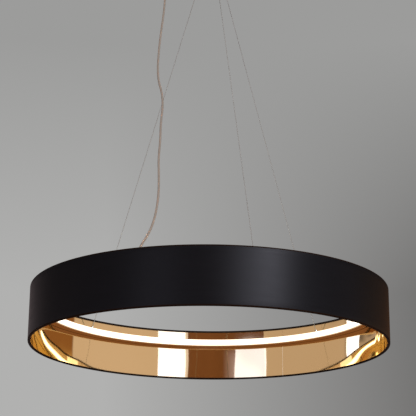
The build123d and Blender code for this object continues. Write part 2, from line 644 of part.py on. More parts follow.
# Driver and terminal block on the canopy's floor, held by nuts on the weld studs
with BuildPart(Plane.XY.offset(Z_FLOOR)) as led_driver:
    with Locations((0, DRIVER_Y)):
        Box(DRIVER_L, DRIVER_W, DRIVER_H, align=UPWARD)
    fillet(led_driver.edges().filter_by(Axis.Z), radius=DRIVER_EDGE_R)
    fillet(led_driver.faces().sort_by(Axis.Z)[-1].edges(), radius=DRIVER_EDGE_R / 2)
    with Locations((0, DRIVER_Y)):
        Box(DRIVER_L + 2 * EAR_L, EAR_W, EAR_T, align=UPWARD)
    with Locations(*WELD_STUDS[:2]):
        Cylinder(WELD_STUD_R + STUD_HOLE_GAP, EAR_T, align=UPWARD, mode=Mode.SUBTRACT)
save(led_driver, "led_driver")

POLES = [TERMINAL_X + (k - (TERMINAL_POLES - 1) / 2) * TERMINAL_PITCH for k in range(TERMINAL_POLES)]
TERMINAL_SCREWS = [Vector(x, TERMINAL_Y, Z_FLOOR + TERMINAL_H) for x in POLES]

with BuildPart(Plane.XY.offset(Z_FLOOR)) as terminal_block:
    with Locations((TERMINAL_X, TERMINAL_Y)):
        Box(TERMINAL_L, TERMINAL_W, TERMINAL_H, align=UPWARD)
        Box(TERMINAL_L + 2 * EAR_L, EAR_W, EAR_T, align=UPWARD)
    with Locations(*WELD_STUDS[2:]):
        Cylinder(WELD_STUD_R + STUD_HOLE_GAP, EAR_T, align=UPWARD, mode=Mode.SUBTRACT)
    with Locations(*[(x, TERMINAL_Y, TERMINAL_H) for x in POLES]):
        Cylinder(TERMINAL_SCREW_R + FIT, TERMINAL_SCREW_L + FIT, align=DOWNWARD, mode=Mode.SUBTRACT)
    for x in POLES:
        with Locations(Plane((x, TERMINAL_Y - TERMINAL_W / 2, TERMINAL_ENTRY_Z), z_dir=(0, 1, 0))):
            Cylinder(TERMINAL_ENTRY_R, TERMINAL_ENTRY_L, align=UPWARD, mode=Mode.SUBTRACT)
save(terminal_block, "terminal_block")

with BuildPart() as terminal_screws:
    with Locations(*TERMINAL_SCREWS):
        pan_screw(TERMINAL_HEAD_R, TERMINAL_HEAD_H, TERMINAL_SCREW_R, TERMINAL_SCREW_L)
save(terminal_screws, "terminal_screws")

with BuildPart() as stud_nuts:
    with BuildSketch(Plane.XY.offset(Z_FLOOR + EAR_T)):
        with Locations(*WELD_STUDS):
            hex_nut(STUD_NUT_FLAT, WELD_STUD_R + FIT)
    extrude(amount=STUD_NUT_H)
save(stud_nuts, "stud_nuts")

# Cord gland in the canopy's floor, its nut, and the connector on the cord's upper end
with BuildPart(Plane(GLAND_POINT)) as canopy_gland:
    Cylinder(GLAND_R, GLAND_TOP, align=UPWARD)
    Cylinder(GLAND_R + GLAND_FLANGE, GLAND_FLANGE_H, align=DOWNWARD)
    with Locations((0, 0, -GLAND_FLANGE_H)):
        Cone(CORD_HOLE_R + GLAND_NOSE_WALL, GLAND_R, GLAND_NOSE_H, align=DOWNWARD)
    with Locations((0, 0, GLAND_TOP)):
        Cylinder(CORD_HOLE_R, GLAND_TOP + GLAND_FLANGE_H + GLAND_NOSE_H, align=DOWNWARD, mode=Mode.SUBTRACT)
save(canopy_gland, "canopy_gland")

with BuildPart() as gland_nut:
    with BuildSketch(Plane.XY.offset(Z_FLOOR)):
        with Locations((GLAND_POINT.X, GLAND_POINT.Y)):
            hex_nut(2 * (GLAND_R + FIT + GLAND_NUT_WALL), GLAND_R + FIT)
    extrude(amount=GLAND_NUT_H)
save(gland_nut, "gland_nut")

cord_top = GLAND_POINT + Vector(0, 0, GLAND_TOP)
with BuildPart(Plane(cord_top)) as cord_connector:
    Box(CONNECTOR_L, CONNECTOR_W, CONNECTOR_H, align=UPWARD)
    fillet(cord_connector.edges().filter_by(Axis.Z), radius=CONNECTOR_W / 10)
save(cord_connector, "cord_connector")

# Snap-in bush where the cord enters the channel, and the connector on the strip
with BuildPart(Plane(BUSH_POINT)) as cord_bush:
    Cylinder(BUSH_R + BUSH_FLANGE, BUSH_FLANGE_H, align=UPWARD)
    with Locations((0, 0, BUSH_FLANGE_H)):
        Cone(BUSH_R, CORD_HOLE_R + BUSH_NOSE_WALL, BUSH_NOSE_H, align=UPWARD)
    Cylinder(BUSH_R, CHANNEL_WALL + FIT, align=DOWNWARD)
    with Locations((0, 0, -CHANNEL_WALL - FIT)):
        Cylinder(BUSH_R + BUSH_LIP, BUSH_LIP_H, align=DOWNWARD)
    with Locations((0, 0, BUSH_FLANGE_H + BUSH_NOSE_H)):
        Cylinder(
            CORD_HOLE_R,
            BUSH_FLANGE_H + BUSH_NOSE_H + CHANNEL_WALL + FIT + BUSH_LIP_H,
            align=DOWNWARD,
            mode=Mode.SUBTRACT,
        )
save(cord_bush, "cord_bush")

cord_end = Vector(BUSH_POINT.X, BUSH_POINT.Y, Z_CORD_END)
with BuildPart(Plane(cord_end, x_dir=ring_point(1, CORD_ANGLE))) as strip_connector:
    Box(STRIP_CONNECTOR_W, STRIP_CONNECTOR_L, Z_CORD_END - Z_CAVITY_LOW, align=DOWNWARD)
save(strip_connector, "strip_connector")

# Power cord: straight runs joined by arcs, each as wide as its two runs allow
cord_points = [
    cord_top,
    cord_top - Vector(0, 0, CORD_LEAD),
    *[Vector(*bend) for bend in CORD_BENDS],
    Vector(BUSH_POINT.X, BUSH_POINT.Y, Z_CHANNEL_TOP + CORD_RISE),
    cord_end,
]
cord_radii = []
for before, corner, after in zip(cord_points, cord_points[1:], cord_points[2:]):
    turn = (corner - before).get_angle(after - corner)
    shorter = min((corner - before).length, (after - corner).length)
    cord_radii.append(ARC_SHARE * shorter / tan(radians(turn) / 2))

with BuildPart() as power_cord:
    with BuildLine():
        cord_route = FilletPolyline(*cord_points, radius=cord_radii)
    with BuildSketch(Plane(cord_route @ 0, z_dir=cord_route % 0)):
        Circle(CORD_D / 2)
    sweep(path=cord_route)
save(power_cord, "power_cord")

cord_length = cord_route.length
print("cord radii", [round(radius) for radius in cord_radii])
print("cord runs", [round((b - a).length) for a, b in zip(cord_points, cord_points[1:])])
print("cord length", round(cord_length, 1), "volume", round(power_cord.part.volume, 1))
print("section times length", round(pi * CORD_D**2 / 4 * cord_length, 1))
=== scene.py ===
"""LED ring pendant: a black drum shade lined in mirror gold, with a lit ring inside it, hung on wires."""

import json
import math

import bmesh
import bpy
import numpy as np
from mathutils import Matrix, Vector

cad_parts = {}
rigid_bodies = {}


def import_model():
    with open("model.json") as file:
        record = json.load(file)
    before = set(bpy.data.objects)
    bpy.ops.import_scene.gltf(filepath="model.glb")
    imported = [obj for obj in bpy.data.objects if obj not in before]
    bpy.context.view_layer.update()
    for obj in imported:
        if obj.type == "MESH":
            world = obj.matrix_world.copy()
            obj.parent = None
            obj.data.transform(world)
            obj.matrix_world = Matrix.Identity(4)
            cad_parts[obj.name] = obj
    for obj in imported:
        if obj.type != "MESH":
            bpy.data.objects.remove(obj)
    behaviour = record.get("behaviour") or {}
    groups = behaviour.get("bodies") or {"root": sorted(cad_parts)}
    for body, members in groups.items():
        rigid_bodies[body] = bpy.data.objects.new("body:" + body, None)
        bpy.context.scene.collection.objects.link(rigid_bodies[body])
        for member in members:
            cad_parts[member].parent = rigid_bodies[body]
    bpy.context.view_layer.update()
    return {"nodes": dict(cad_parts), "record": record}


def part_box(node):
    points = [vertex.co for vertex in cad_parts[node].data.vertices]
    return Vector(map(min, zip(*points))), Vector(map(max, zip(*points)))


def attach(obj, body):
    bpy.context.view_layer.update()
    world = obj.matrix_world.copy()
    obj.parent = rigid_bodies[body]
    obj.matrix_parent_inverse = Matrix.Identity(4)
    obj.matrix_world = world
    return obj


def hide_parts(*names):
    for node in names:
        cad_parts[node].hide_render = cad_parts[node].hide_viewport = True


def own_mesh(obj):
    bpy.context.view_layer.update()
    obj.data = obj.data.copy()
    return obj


bl_info = {
    "name": "LED ring pendant",
    "version": (1, 0, 0),
    "blender": (4, 5, 0),
    "location": "View3D > Sidebar > Pendant",
    "description": "Dresses the packed pendant light with its finishes, wires, cord and studio",
    "category": "Add Mesh",
}

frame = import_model()
NODES = frame["nodes"]

MM = 0.001
SHADE_LOW, SHADE_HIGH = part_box("shade_outer")
BAND_LOW, BAND_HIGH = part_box("diffuser")
CANOPY_LOW, CANOPY_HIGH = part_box("canopy_cover")
BODY_OF = {node: body for body, nodes in frame["record"]["behaviour"]["bodies"].items() for node in nodes}

# The cord's route from its connector in the canopy to the channel, chosen from the photographed bends
CORD_ROUTE = np.array([
    (-110.0, -42.0, -33.6), (-110.0, -42.0, -72.6), (-110, -46, -142), (-113, -56, -201), (-118, -72, -257),
    (-121, -92, -311), (-122, -114, -364), (-119, -132, -405), (-109, -150, -444), (-106, -172, -485),
    (-109, -198, -535), (-108, -226, -586), (-110, -253, -636), (-107, -279, -687), (-106, -303, -737),
    (-111, -323, -787), (-122, -338, -827), (-144.785, -358.357, -871), (-144.785, -358.357, -897.7),
]) * MM

# The wires run straight from the swivel heads in the hub to the balls in the channel's anchors. Both ends
# are a radius and a height.
WIRE_ANGLES = np.radians((47.2, 137.4, -76.7))
WIRE_NUMBERS = range(1, len(WIRE_ANGLES) + 1)
WIRE_TOP = (28.0 * MM, -47.0 * MM)
WIRE_END = (386.5 * MM, -889.5 * MM)

# The camera, fitted to the drum's photographed edges
CAMERA_PLACE = (0.0, -2.84671, -1.57570)
CAMERA_PITCH, CAMERA_YAW, CAMERA_ROLL = np.radians((17.7542, -0.0896, 0.4755))
CAMERA_LENS = 112.512
CAMERA_SENSOR = 36.0

# Edges sharper than these angles in degrees stay sharp, on new surfaces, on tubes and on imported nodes
SHARP, TUBE_SHARP, NODE_SHARP = 40.0, 70.0, 35.0
# Points nearer than this in metres are one point, on new surfaces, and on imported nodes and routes
SAME_POINT, SAME_NODE_POINT = 1e-7, 1e-6

# Profile points within this distance of a face are on it
SKIN = 0.1 * MM

# Where a count of mirrors passes from one to two, as the start and the end of a ramp
TWICE = (1.4, 1.6)

# Colours that more than one finish shares, each light and dark
STEEL = ("#C3C6C8", "#A2A6A9")
BRASS = ("#D9B25F", "#C29745")
NYLON = ("#1C1C1E", "#141416")


def linear(code):
    """Linear red, green and blue of an sRGB hex colour."""
    share = np.array([int(code[k:k + 2], 16) for k in (1, 3, 5)]) / 255
    return tuple(np.where(share <= 0.04045, share / 12.92, ((share + 0.055) / 1.055) ** 2.4).tolist())


def length(name, description, millimetres):
    """A size that the panel shows, kept in metres."""
    return bpy.props.FloatProperty(
        name=name, description=description, default=millimetres * MM, min=0.0, precision=5, unit="LENGTH",
        subtype="DISTANCE",
    )


def colour(name, description, code):
    """A colour that the panel shows, written as sRGB hex."""
    return bpy.props.FloatVectorProperty(
        name=name, description=description, default=linear(code), min=0.0, max=1.0, size=3, subtype="COLOR",
    )


class PendantSizes(bpy.types.PropertyGroup):
    """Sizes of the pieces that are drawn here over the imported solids."""

    laminate: length("Laminate", "Thickness of the black wall", 1.2)
    roll: length("Rolled edge", "Outside radius of the edge rolled round the rim wire", 3.1)
    hem: length("Hem", "Length of the lower rolled edge beyond the rim wire's centre", 0.8)
    liner_gap: length("Lining gap", "From the shade's outside to the lining's face", 1.8)
    liner: length("Lining", "Thickness of the gold film", 0.5)
    wave: length("Lining wave", "How far the lining waves off the wall", 0.18)
    buckle: length("Lining buckle", "How far the lining lifts where it has buckled", 0.5)
    bulge: length("Lining bulge", "How far the lining stands off the wall where its glue has let go", 1.7)
    wave_height: length("Lining wave height", "Height over which the lining's waves lean", 60.0)
    tuck: length("Lining tuck", "How far the lining goes up behind the upper rolled edge", 1.0)
    band: length("Diffuser", "Thickness of the opal band", 4.0)
    band_back: length("Diffuser back", "Radius of the opal band's back", 375.9)
    band_edge: length("Diffuser edge", "Rounding of the opal band's edges", 0.9)
    sheet: length("Canopy sheet", "Thickness of the canopy's steel", 1.2)
    canopy_edge: length("Canopy edge", "Rounding of the canopy's lower edge", 5.0)
    grip: length("Wire grip", "Radius of the grip's body and cap", 6.94)
    cap_start: length("Cap", "Along the wire, from the swivel head's centre to the cap", 35.887)
    cap: length("Cap height", "Height of the grip's knurled cap", 4.0)
    button: length("Release", "Radius of the grip's release sleeve", 2.0)
    button_out: length("Release length", "How far the release sleeve stands out of the cap", 6.5)
    wire: length("Wire", "Diameter of the suspension wire", 1.5)
    wire_lay: length("Wire lay", "Length of one turn of the wire's strands", 11.0)
    cord: length("Cord", "Diameter of the clear cord", 4.5)
    core: length("Core", "Diameter of each copper core in the cord", 1.9)
    core_lay: length("Core lay", "Length of one turn of the two cores round each other", 46.0)


class PendantColours(bpy.types.PropertyGroup):
    """Colours of the finishes and of the studio."""

    laminate: colour("Laminate", "Satin black outside of the shade", "#0B0B0D")
    # The rolled edge's brown is painted warm light from the gold lining and the lit band, not the laminate's
    # own colour
    rolled: colour("Rolled edge", "Dull edge of the shade, where the laminate is rolled", "#221107")
    gold: colour("Gold film", "Mirror lining of the shade", "#F3DA9E")
    channel: colour("Channel", "Pale gold anodised aluminium", "#EED3A8")
    light: colour("Light", "Warm white of the lit band", "#FFF1DC")
    light_edge: colour("Light edge", "Amber along the lit band's edges", "#FFC98A")
    copper: colour("Copper", "Cores of the cord", "#C9966F")
    canopy: colour("Canopy", "Satin black powder coat", "#151517")
    floor: colour("Floor", "Pale studio floor", "#CFCFCC")
    front_left: colour("Studio front left", "Pale wall on the camera's side, at the left", "#C6C5C2")
    front_right: colour("Studio front right", "Pale wall on the camera's side, at the right", "#D6D6D4")
    back_left: colour("Backdrop left", "Grey wall behind the pendant, at the left", "#B1B1B0")
    back_right: colour("Backdrop right", "Grey wall behind the pendant, at the right", "#727170")
    back_top: colour("Backdrop top", "Grey wall behind the pendant, at the top", "#9C9C9B")
    flag_black: colour("Black flag", "Black cloth that keeps stray light off the shade", "#202022")
    flag_brown: colour("Brown flag", "Brown cloth at the right, which the lining mirrors", "#8E5F3A")
    flag_gold: colour("Gold flag", "Foot of the brown cloth, which is paler", "#C19765")
    low_pale: colour("Low surroundings", "Pale floor all round, as the lining mirrors it", "#C6B2B1")
    low_front: colour("Low front", "Brown carpet far in front, which the channel mirrors", "#8C6651")
    rosy: colour("Mirrored tint", "Tint of the studio where metal and gloss mirror it", "#FFE7E9")
    low_side: colour("Low sides", "Bright floor far to the sides, which the lining mirrors", "#F4F4F2")


def add(tree, kind, inputs=None, **settings):
    """Adds one shader node: its own settings, and its sockets, each a value or the socket that feeds it."""
    made = tree.nodes.new(kind)
    for key, value in settings.items():
        setattr(made, key, value)
    for key, value in (inputs or {}).items():
        if isinstance(value, bpy.types.NodeSocket):
            tree.links.new(value, made.inputs[key])
        else:
            made.inputs[key].default_value = value
    return made


def opaque(tone):
    """A colour with its alpha, as a shader socket takes it, from sRGB hex or from linear values."""
    return (*(linear(tone) if isinstance(tone, str) else tuple(tone)[:3]), 1.0)


def grained(
    name, light, dark, size_mm, stretch=(1, 1, 1), rough=(0.3, 0.4), depth_mm=0.02, rings=False, **sockets,
):
    """A finish with a fine grain: noise of a size in millimetres shifts its colour, roughness and bump.

    With rings, the noise runs on the radius and the height, so that its lines go round the vertical axis."""
    material = bpy.data.materials.new(name)
    material.use_nodes = True
    tree = material.node_tree
    tree.nodes.clear()
    place = add(tree, "ShaderNodeTexCoord").outputs["Object"]
    if rings:
        flat = add(tree, "ShaderNodeVectorMath", {0: place, 1: (1, 1, 0)}, operation="MULTIPLY").outputs[0]
        radius = add(tree, "ShaderNodeVectorMath", {0: flat}, operation="LENGTH").outputs["Value"]
        height = add(tree, "ShaderNodeSeparateXYZ", {0: place}).outputs["Z"]
        place = add(tree, "ShaderNodeCombineXYZ", {"X": radius, "Y": height}).outputs[0]
    place = add(tree, "ShaderNodeMapping", {"Vector": place, "Scale": stretch}).outputs[0]
    scale = 1 / (size_mm * MM)
    noise = add(tree, "ShaderNodeTexNoise", {"Vector": place, "Scale": scale, "Detail": 4.0}).outputs[0]
    tones = {0: noise, 6: opaque(light), 7: opaque(dark)}
    shade = add(tree, "ShaderNodeMix", tones, data_type="RGBA").outputs[2]
    gloss = add(tree, "ShaderNodeMapRange", {0: noise, 3: rough[0], 4: rough[1]}).outputs[0]
    depth = depth_mm * MM
    relief = add(tree, "ShaderNodeBump", {"Height": noise, "Distance": depth, "Strength": 0.6}).outputs[0]
    surface_inputs = {"Base Color": shade, "Roughness": gloss, "Normal": relief}
    shader = add(tree, "ShaderNodeBsdfPrincipled", surface_inputs)
    for key, value in sockets.items():
        shader.inputs[key.replace("_", " ")].default_value = value
    add(tree, "ShaderNodeOutputMaterial", {"Surface": shader.outputs[0]})
    return material


def arc(centre, radius, start, end, steps):
    """Points of a circular arc in the radius and height plane, from one angle in degrees to another."""
    turn = np.radians(np.linspace(start, end, steps))
    return np.c_[centre[0] + radius * np.cos(turn), centre[1] + radius * np.sin(turn)]


def surface(name, points, loop_u, loop_v, sharp=SHARP):
    """Mesh object of a grid of points, closed or open in each of its two directions.

    Each cell between neighbours is one face. Faces point along the first direction times the second, doubled
    points are merged, and edges sharper than an angle in degrees stay sharp in the shading."""
    rows, columns = points.shape[:2]
    index = np.arange(rows * columns).reshape(rows, columns)
    u = np.arange(rows if loop_u else rows - 1)[:, None]
    v = np.arange(columns if loop_v else columns - 1)[None, :]
    u_next, v_next = (u + 1) % rows, (v + 1) % columns
    corners = [index[u, v], index[u_next, v], index[u_next, v_next], index[u, v_next]]
    mesh = bpy.data.meshes.new(name)
    mesh.from_pydata(points.reshape(-1, 3), [], np.stack(corners, -1).reshape(-1, 4).tolist())
    return smoothed(name, mesh, SAME_POINT, sharp)


def smoothed(name, mesh, same_point, sharp):
    """Object of a mesh, with its doubled points merged and its edges smooth up to an angle in degrees."""
    work = bmesh.new()
    work.from_mesh(mesh)
    bmesh.ops.remove_doubles(work, verts=work.verts, dist=same_point)
    work.to_mesh(mesh)
    work.free()
    mesh.polygons.foreach_set("use_smooth", np.ones(len(mesh.polygons), bool))
    mesh.set_sharp_from_angle(angle=math.radians(sharp))
    made = bpy.data.objects.new(name, mesh)
    bpy.context.scene.collection.objects.link(made)
    return made


def turned(name, profile, turn, swell=None, place=None):
    """Profile of radius and height carried round an axis: x = r cos a, y = r sin a, z = h.

    swell, a function of the angle and the profile, may add to the radius, as a lap joint or a knurl does.
    place turns and moves the finished grid from the vertical axis to another one."""
    turn = np.asarray(turn)[:, None]
    radius = profile[None, :, 0] + (0 * turn if swell is None else swell(turn, profile))
    points = np.stack([radius * np.cos(turn), radius * np.sin(turn), profile[None, :, 1] + 0 * turn], -1)
    if place is not None:
        points = points @ place[:3, :3].T + place[:3, 3]
    return surface(name, points, True, True)


def full_turn(steps):
    """Angles of a whole turn, evenly spaced."""
    return np.linspace(0, 2 * np.pi, steps, endpoint=False)


def ridges(turn, count):
    """Ridges spaced evenly round an axis, from 0 to 1 high: (1 + cos(count a)) / 2."""
    return 0.5 + 0.5 * np.cos(count * turn)


def polished(node, edge=0.0):
    """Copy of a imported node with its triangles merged: round faces shade smoothly, and edges may be eased."""
    mesh = NODES[node].data.copy()
    mesh.materials.clear()
    made = smoothed(f"finished_{node}", mesh, SAME_NODE_POINT, NODE_SHARP)
    if edge:
        eased = made.modifiers.new("eased_edges", "BEVEL")
        eased.width = edge
        eased.segments = 2
        eased.limit_method = "ANGLE"
        eased.angle_limit = math.radians(SHARP)
    made.modifiers.new("flat_faces", "WEIGHTED_NORMAL").keep_sharp = True
    return made


def dressed(piece, material, like, replaces=True):
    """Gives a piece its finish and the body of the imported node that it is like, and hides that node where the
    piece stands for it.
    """
    piece.data.materials.append(material)
    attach(piece, BODY_OF[like])
    if replaces:
        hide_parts(like)
    return piece


def spline_points(route, per_point):
    """Points along a NURBS spline whose control points are the route's, and the length run up to each."""
    curve = bpy.data.curves.new("route", "CURVE")
    curve.dimensions = "3D"
    curve.resolution_u = per_point
    spline = curve.splines.new("NURBS")
    spline.points.add(len(route) - 1)
    spline.points.foreach_set("co", np.c_[route, np.ones(len(route))].ravel())
    spline.order_u = 3
    spline.use_endpoint_u = True
    holder = bpy.data.objects.new("route", curve)
    bpy.context.scene.collection.objects.link(holder)
    line = bpy.data.meshes.new_from_object(holder.evaluated_get(bpy.context.evaluated_depsgraph_get()))
    points = np.empty(len(line.vertices) * 3)
    line.vertices.foreach_get("co", points)
    bpy.data.objects.remove(holder)
    bpy.data.curves.remove(curve)
    bpy.data.meshes.remove(line)
    points = points.reshape(-1, 3)
    step = np.linalg.norm(np.diff(points, axis=0), axis=1)
    points = points[np.r_[True, step > SAME_NODE_POINT]]
    return points, np.r_[0, np.cumsum(np.linalg.norm(np.diff(points, axis=0), axis=1))]


def tube(name, line, along, radius, sides, lobes=0, dent=0.0, lay=1.0, offset=0.0, phase=0.0):
    """Round section carried along a line: centre + r (cos a n + sin a b), with n and b square to the line.

    The section may have lobes that turn once in each lay, and may run beside the line at an offset, turning
    round it once in each lay. Both ends close in a point."""
    tangent = np.gradient(line, axis=0)
    tangent /= np.linalg.norm(tangent, axis=1, keepdims=True)
    normal = np.cross(tangent, (1.0, 0.0, 0.0))
    normal /= np.linalg.norm(normal, axis=1, keepdims=True)
    binormal = np.cross(tangent, normal)
    twist = (2 * np.pi * along / lay + phase)[:, None]
    centre = line + offset * (np.cos(twist) * normal + np.sin(twist) * binormal)
    turn = full_turn(sides)[None, :]
    size = radius * (1 - dent * np.abs(np.sin(lobes / 2 * (turn - twist))))
    size[[0, -1]] = 0.0
    points = (centre[:, None] + (size * np.cos(turn))[..., None] * normal[:, None]
              + (size * np.sin(turn))[..., None] * binormal[:, None])
    return surface(name, points[:, ::-1], False, True, sharp=TUBE_SHARP)


def ring_place(radius, turn, z):
    """Point at a radius and an angle round the vertical axis."""
    return np.array((radius * np.cos(turn), radius * np.sin(turn), z))


def wire_ends(turn):
    """Upper and lower end of the wire at an angle round the vertical axis."""
    return ring_place(WIRE_TOP[0], turn, WIRE_TOP[1]), ring_place(WIRE_END[0], turn, WIRE_END[1])


class PENDANT_OT_stage(bpy.types.Operator):
    """Camera, floor, grey studio and the lamps"""

    bl_idname = "pendant.stage"
    bl_label = "Studio"

    def execute(self, context):
        colours = context.scene.pendant_colours
        self.camera(context)
        self.studio(context.scene, colours)
        self.lamps(context.scene)
        self.floor(colours)
        context.scene.view_settings.view_transform = "Standard"
        return {"FINISHED"}

    def camera(self, context):
        """Looks along its pitch and yaw, with its right and its upper side turned by its roll."""
        level = math.cos(CAMERA_PITCH)
        ahead = Vector((math.sin(CAMERA_YAW) * level, math.cos(CAMERA_YAW) * level, math.sin(CAMERA_PITCH)))
        right = Vector((math.cos(CAMERA_YAW), -math.sin(CAMERA_YAW), 0))
        above = right.cross(ahead)
        keep, tip = math.cos(CAMERA_ROLL), math.sin(CAMERA_ROLL)
        right, above = keep * right + tip * above, keep * above - tip * right
        facing = Matrix((right, above, -ahead)).transposed().to_4x4()
        camera = bpy.data.objects.new("camera", bpy.data.cameras.new("camera"))
        camera.data.lens = CAMERA_LENS
        camera.data.sensor_width = CAMERA_SENSOR
        camera.matrix_world = Matrix.Translation(CAMERA_PLACE) @ facing
        context.scene.collection.objects.link(camera)
        context.scene.camera = camera

    def studio(self, scene, colours):
        # The camera, metal and glass see a room that is pale on the camera's side and has a grey wall behind
        # the pendant, darker to the right. Metal and gloss also see the flags. All else gets an even fill.
        fill_level = 0.42
        world = bpy.data.worlds.new("studio")
        world.use_nodes = True
        tree = world.node_tree
        tree.nodes.clear()
        place = add(tree, "ShaderNodeTexCoord").outputs["Generated"]
        part = add(tree, "ShaderNodeSeparateXYZ", {0: place}).outputs
        path = add(tree, "ShaderNodeLightPath").outputs
        glossy = path["Is Glossy Ray"]
        axes = {"X": part["X"], "Y": part["Y"], "Z": part["Z"], "bounces": path["Glossy Depth"]}
        # A limit is an axis of the direction, where something starts along it and where it is full. X goes to
        # the right, Y away from the camera and Z up. Bounces are the mirrors that the light has gone over.
        back = ("Y", 0.225, 0.255)
        across, rise, behind, aside = (
            add(tree, "ShaderNodeMapRange", {0: axes[axis], 1: start, 2: full}).outputs[0]
            for axis, start, full in (("X", -0.08, 0.17), ("Z", 0.24, 0.42), back, ("X", -0.8, 0.8))
        )
        left, right = opaque(colours.back_left), opaque(colours.back_right)
        wall = add(tree, "ShaderNodeMix", {0: across, 6: left, 7: right}, data_type="RGBA").outputs[2]
        top = opaque(colours.back_top)
        wall = add(tree, "ShaderNodeMix", {0: rise, 6: wall, 7: top}, data_type="RGBA").outputs[2]
        left, right = opaque(colours.front_left), opaque(colours.front_right)
        pale = add(tree, "ShaderNodeMix", {0: aside, 6: left, 7: right}, data_type="RGBA").outputs[2]
        room = add(tree, "ShaderNodeMix", {0: behind, 6: pale, 7: wall}, data_type="RGBA").outputs[2]
        tint = {0: glossy, 6: room, 7: opaque(colours.rosy)}
        room = add(tree, "ShaderNodeMix", tint, data_type="RGBA", blend_type="MULTIPLY").outputs[2]
        # Each flag covers the directions past all its limits. What reaches the lining's two ends has gone
        # round between mirrors, and comes from a bright floor far aside.
        low, above_low, below_top = ("Z", -0.03, -0.08), ("Z", 0.222, 0.240), ("Z", 0.55, 0.42)
        twice, three_times, four_times = ("bounces", *TWICE), ("bounces", 2.4, 2.6), ("bounces", 3.4, 3.6)
        for shade, *limits in (
            (colours.flag_brown, back, ("X", 0.20, 0.26)),
            (colours.flag_black, back, ("X", -0.25, -0.35), ("Z", 0.165, 0.150)),
            (colours.flag_gold, back, ("X", 0.70, 0.80), ("Z", 0.199, 0.193)),
            (colours.low_pale, low),
            (colours.low_front, low, twice),
            (colours.low_side, three_times, ("Z", -0.207, -0.203)),
            (colours.low_side, four_times),
            (colours.flag_black, above_low, below_top, ("X", -0.10, 0.0)),
            (colours.flag_black, above_low, below_top, ("Y", 0.66, 0.50)),
            (colours.flag_black, ("Z", 0.250, 0.262), below_top),
        ):
            share = glossy
            for axis, start, full in limits:
                edge = add(tree, "ShaderNodeMapRange", {0: axes[axis], 1: start, 2: full}).outputs[0]
                share = add(tree, "ShaderNodeMath", {0: share, 1: edge}, operation="MULTIPLY").outputs[0]
            layer = {0: share, 6: room, 7: opaque(shade)}
            room = add(tree, "ShaderNodeMix", layer, data_type="RGBA").outputs[2]
        seen = path["Is Camera Ray"]
        for ray in ("Is Glossy Ray", "Is Transmission Ray"):
            seen = add(tree, "ShaderNodeMath", {0: seen, 1: path[ray]}, operation="MAXIMUM").outputs[0]
        fill = add(tree, "ShaderNodeBackground", {"Color": (1, 1, 1, 1), "Strength": fill_level}).outputs[0]
        view = add(tree, "ShaderNodeBackground", {"Color": room, "Strength": 1.0}).outputs[0]
        both = add(tree, "ShaderNodeMixShader", {0: seen, 1: fill, 2: view}).outputs[0]
        add(tree, "ShaderNodeOutputWorld", {"Surface": both})
        scene.world = world
        # The lining mirrors itself many times over at the drum's two ends
        scene.cycles.glossy_bounces = 12

    def lamps(self, scene):
        # Two softboxes beside the camera, with a dark screen between them, and a small key light above the
        # right one shape the black outside. The lining mirrors the softboxes' cloth faces, one with a dim
        # rim, and a strip light far to the left, all little brighter than white there. Each lamp has its
        # place and size in metres, its radiance, which is how bright it looks, and its tint.
        white, daylight = (1.0, 1.0, 1.0), (0.43, 0.53, 1.0)
        for name, place, size, radiance, tint in (
            ("softbox_right", (1.318, -2.649, -0.29), (1.14, 0.62), 10.0, white),
            ("softbox_left", (-1.490, -2.556, -0.3935), (1.166, 0.413), 3.4, white),
            ("key_right", (1.90, -2.54, 0.16), (0.50, 0.24), 100.0, white),
            ("face_right", (1.351, -2.639, -0.29), (1.04, 0.62), 3.0, daylight),
            ("rim_right", (0.835, -2.880, -0.29), (0.100, 0.62), 0.52, daylight),
            ("face_left", (-1.504, -2.544, -0.3935), (1.19, 0.413), 2.45, daylight),
            ("strip_left", (-2.372, 1.405, -0.32), (0.776, 0.30), 3.4, daylight),
        ):
            lamp = bpy.data.objects.new(name, bpy.data.lights.new(name, "AREA"))
            lamp.data.shape = "RECTANGLE"
            lamp.data.size, lamp.data.size_y = size
            lamp.data.energy = radiance * math.pi * size[0] * size[1]
            lamp.data.color = tint
            lamp.location = place
            lamp.rotation_mode = "QUATERNION"
            lamp.rotation_quaternion = Vector((-place[0], -place[1], 0)).to_track_quat("-Z", "Y")
            lamp.visible_camera = False
            scene.collection.objects.link(lamp)

    def floor(self, colours):
        """A level square under the pendant, as a grid of points at one height."""
        half, level = 4.5, -2.45
        corner = np.linspace(-half, half, 13)
        x, y = np.meshgrid(corner, corner, indexing="ij")
        floor = surface("floor", np.stack([x, y, np.full_like(x, level)], -1), False, False)
        # Floor paint: dull, with the soft clouds that a roller leaves
        paint = grained("painted_floor", colours.floor, "#C4C4C1", 90.0, rough=(0.6, 0.75), depth_mm=0.2)
        floor.data.materials.append(paint)
        # The floor has an end, so metal and gloss see the low part of the studio instead
        floor.visible_glossy = False
        screen = self.screen()

    def screen(self):
        """An upright sheet behind the softboxes, as a grid of points in one plane.

        It shows between the softboxes, and only metal, gloss and glass see it."""
        left, right, foot, head, depth = -2.72, 0.87, -1.6, 0.6, -3.22
        u, v = np.meshgrid(np.linspace(left, right, 4), np.linspace(foot, head, 4), indexing="ij")
        screen = surface("dark_screen", np.stack([u, np.full_like(u, depth), v], -1)[::-1], False, False)
        screen.data.materials.append(self.felt())
        for ray in ("camera", "diffuse", "shadow"):
            setattr(screen, f"visible_{ray}", False)
        return screen

    def felt(self):
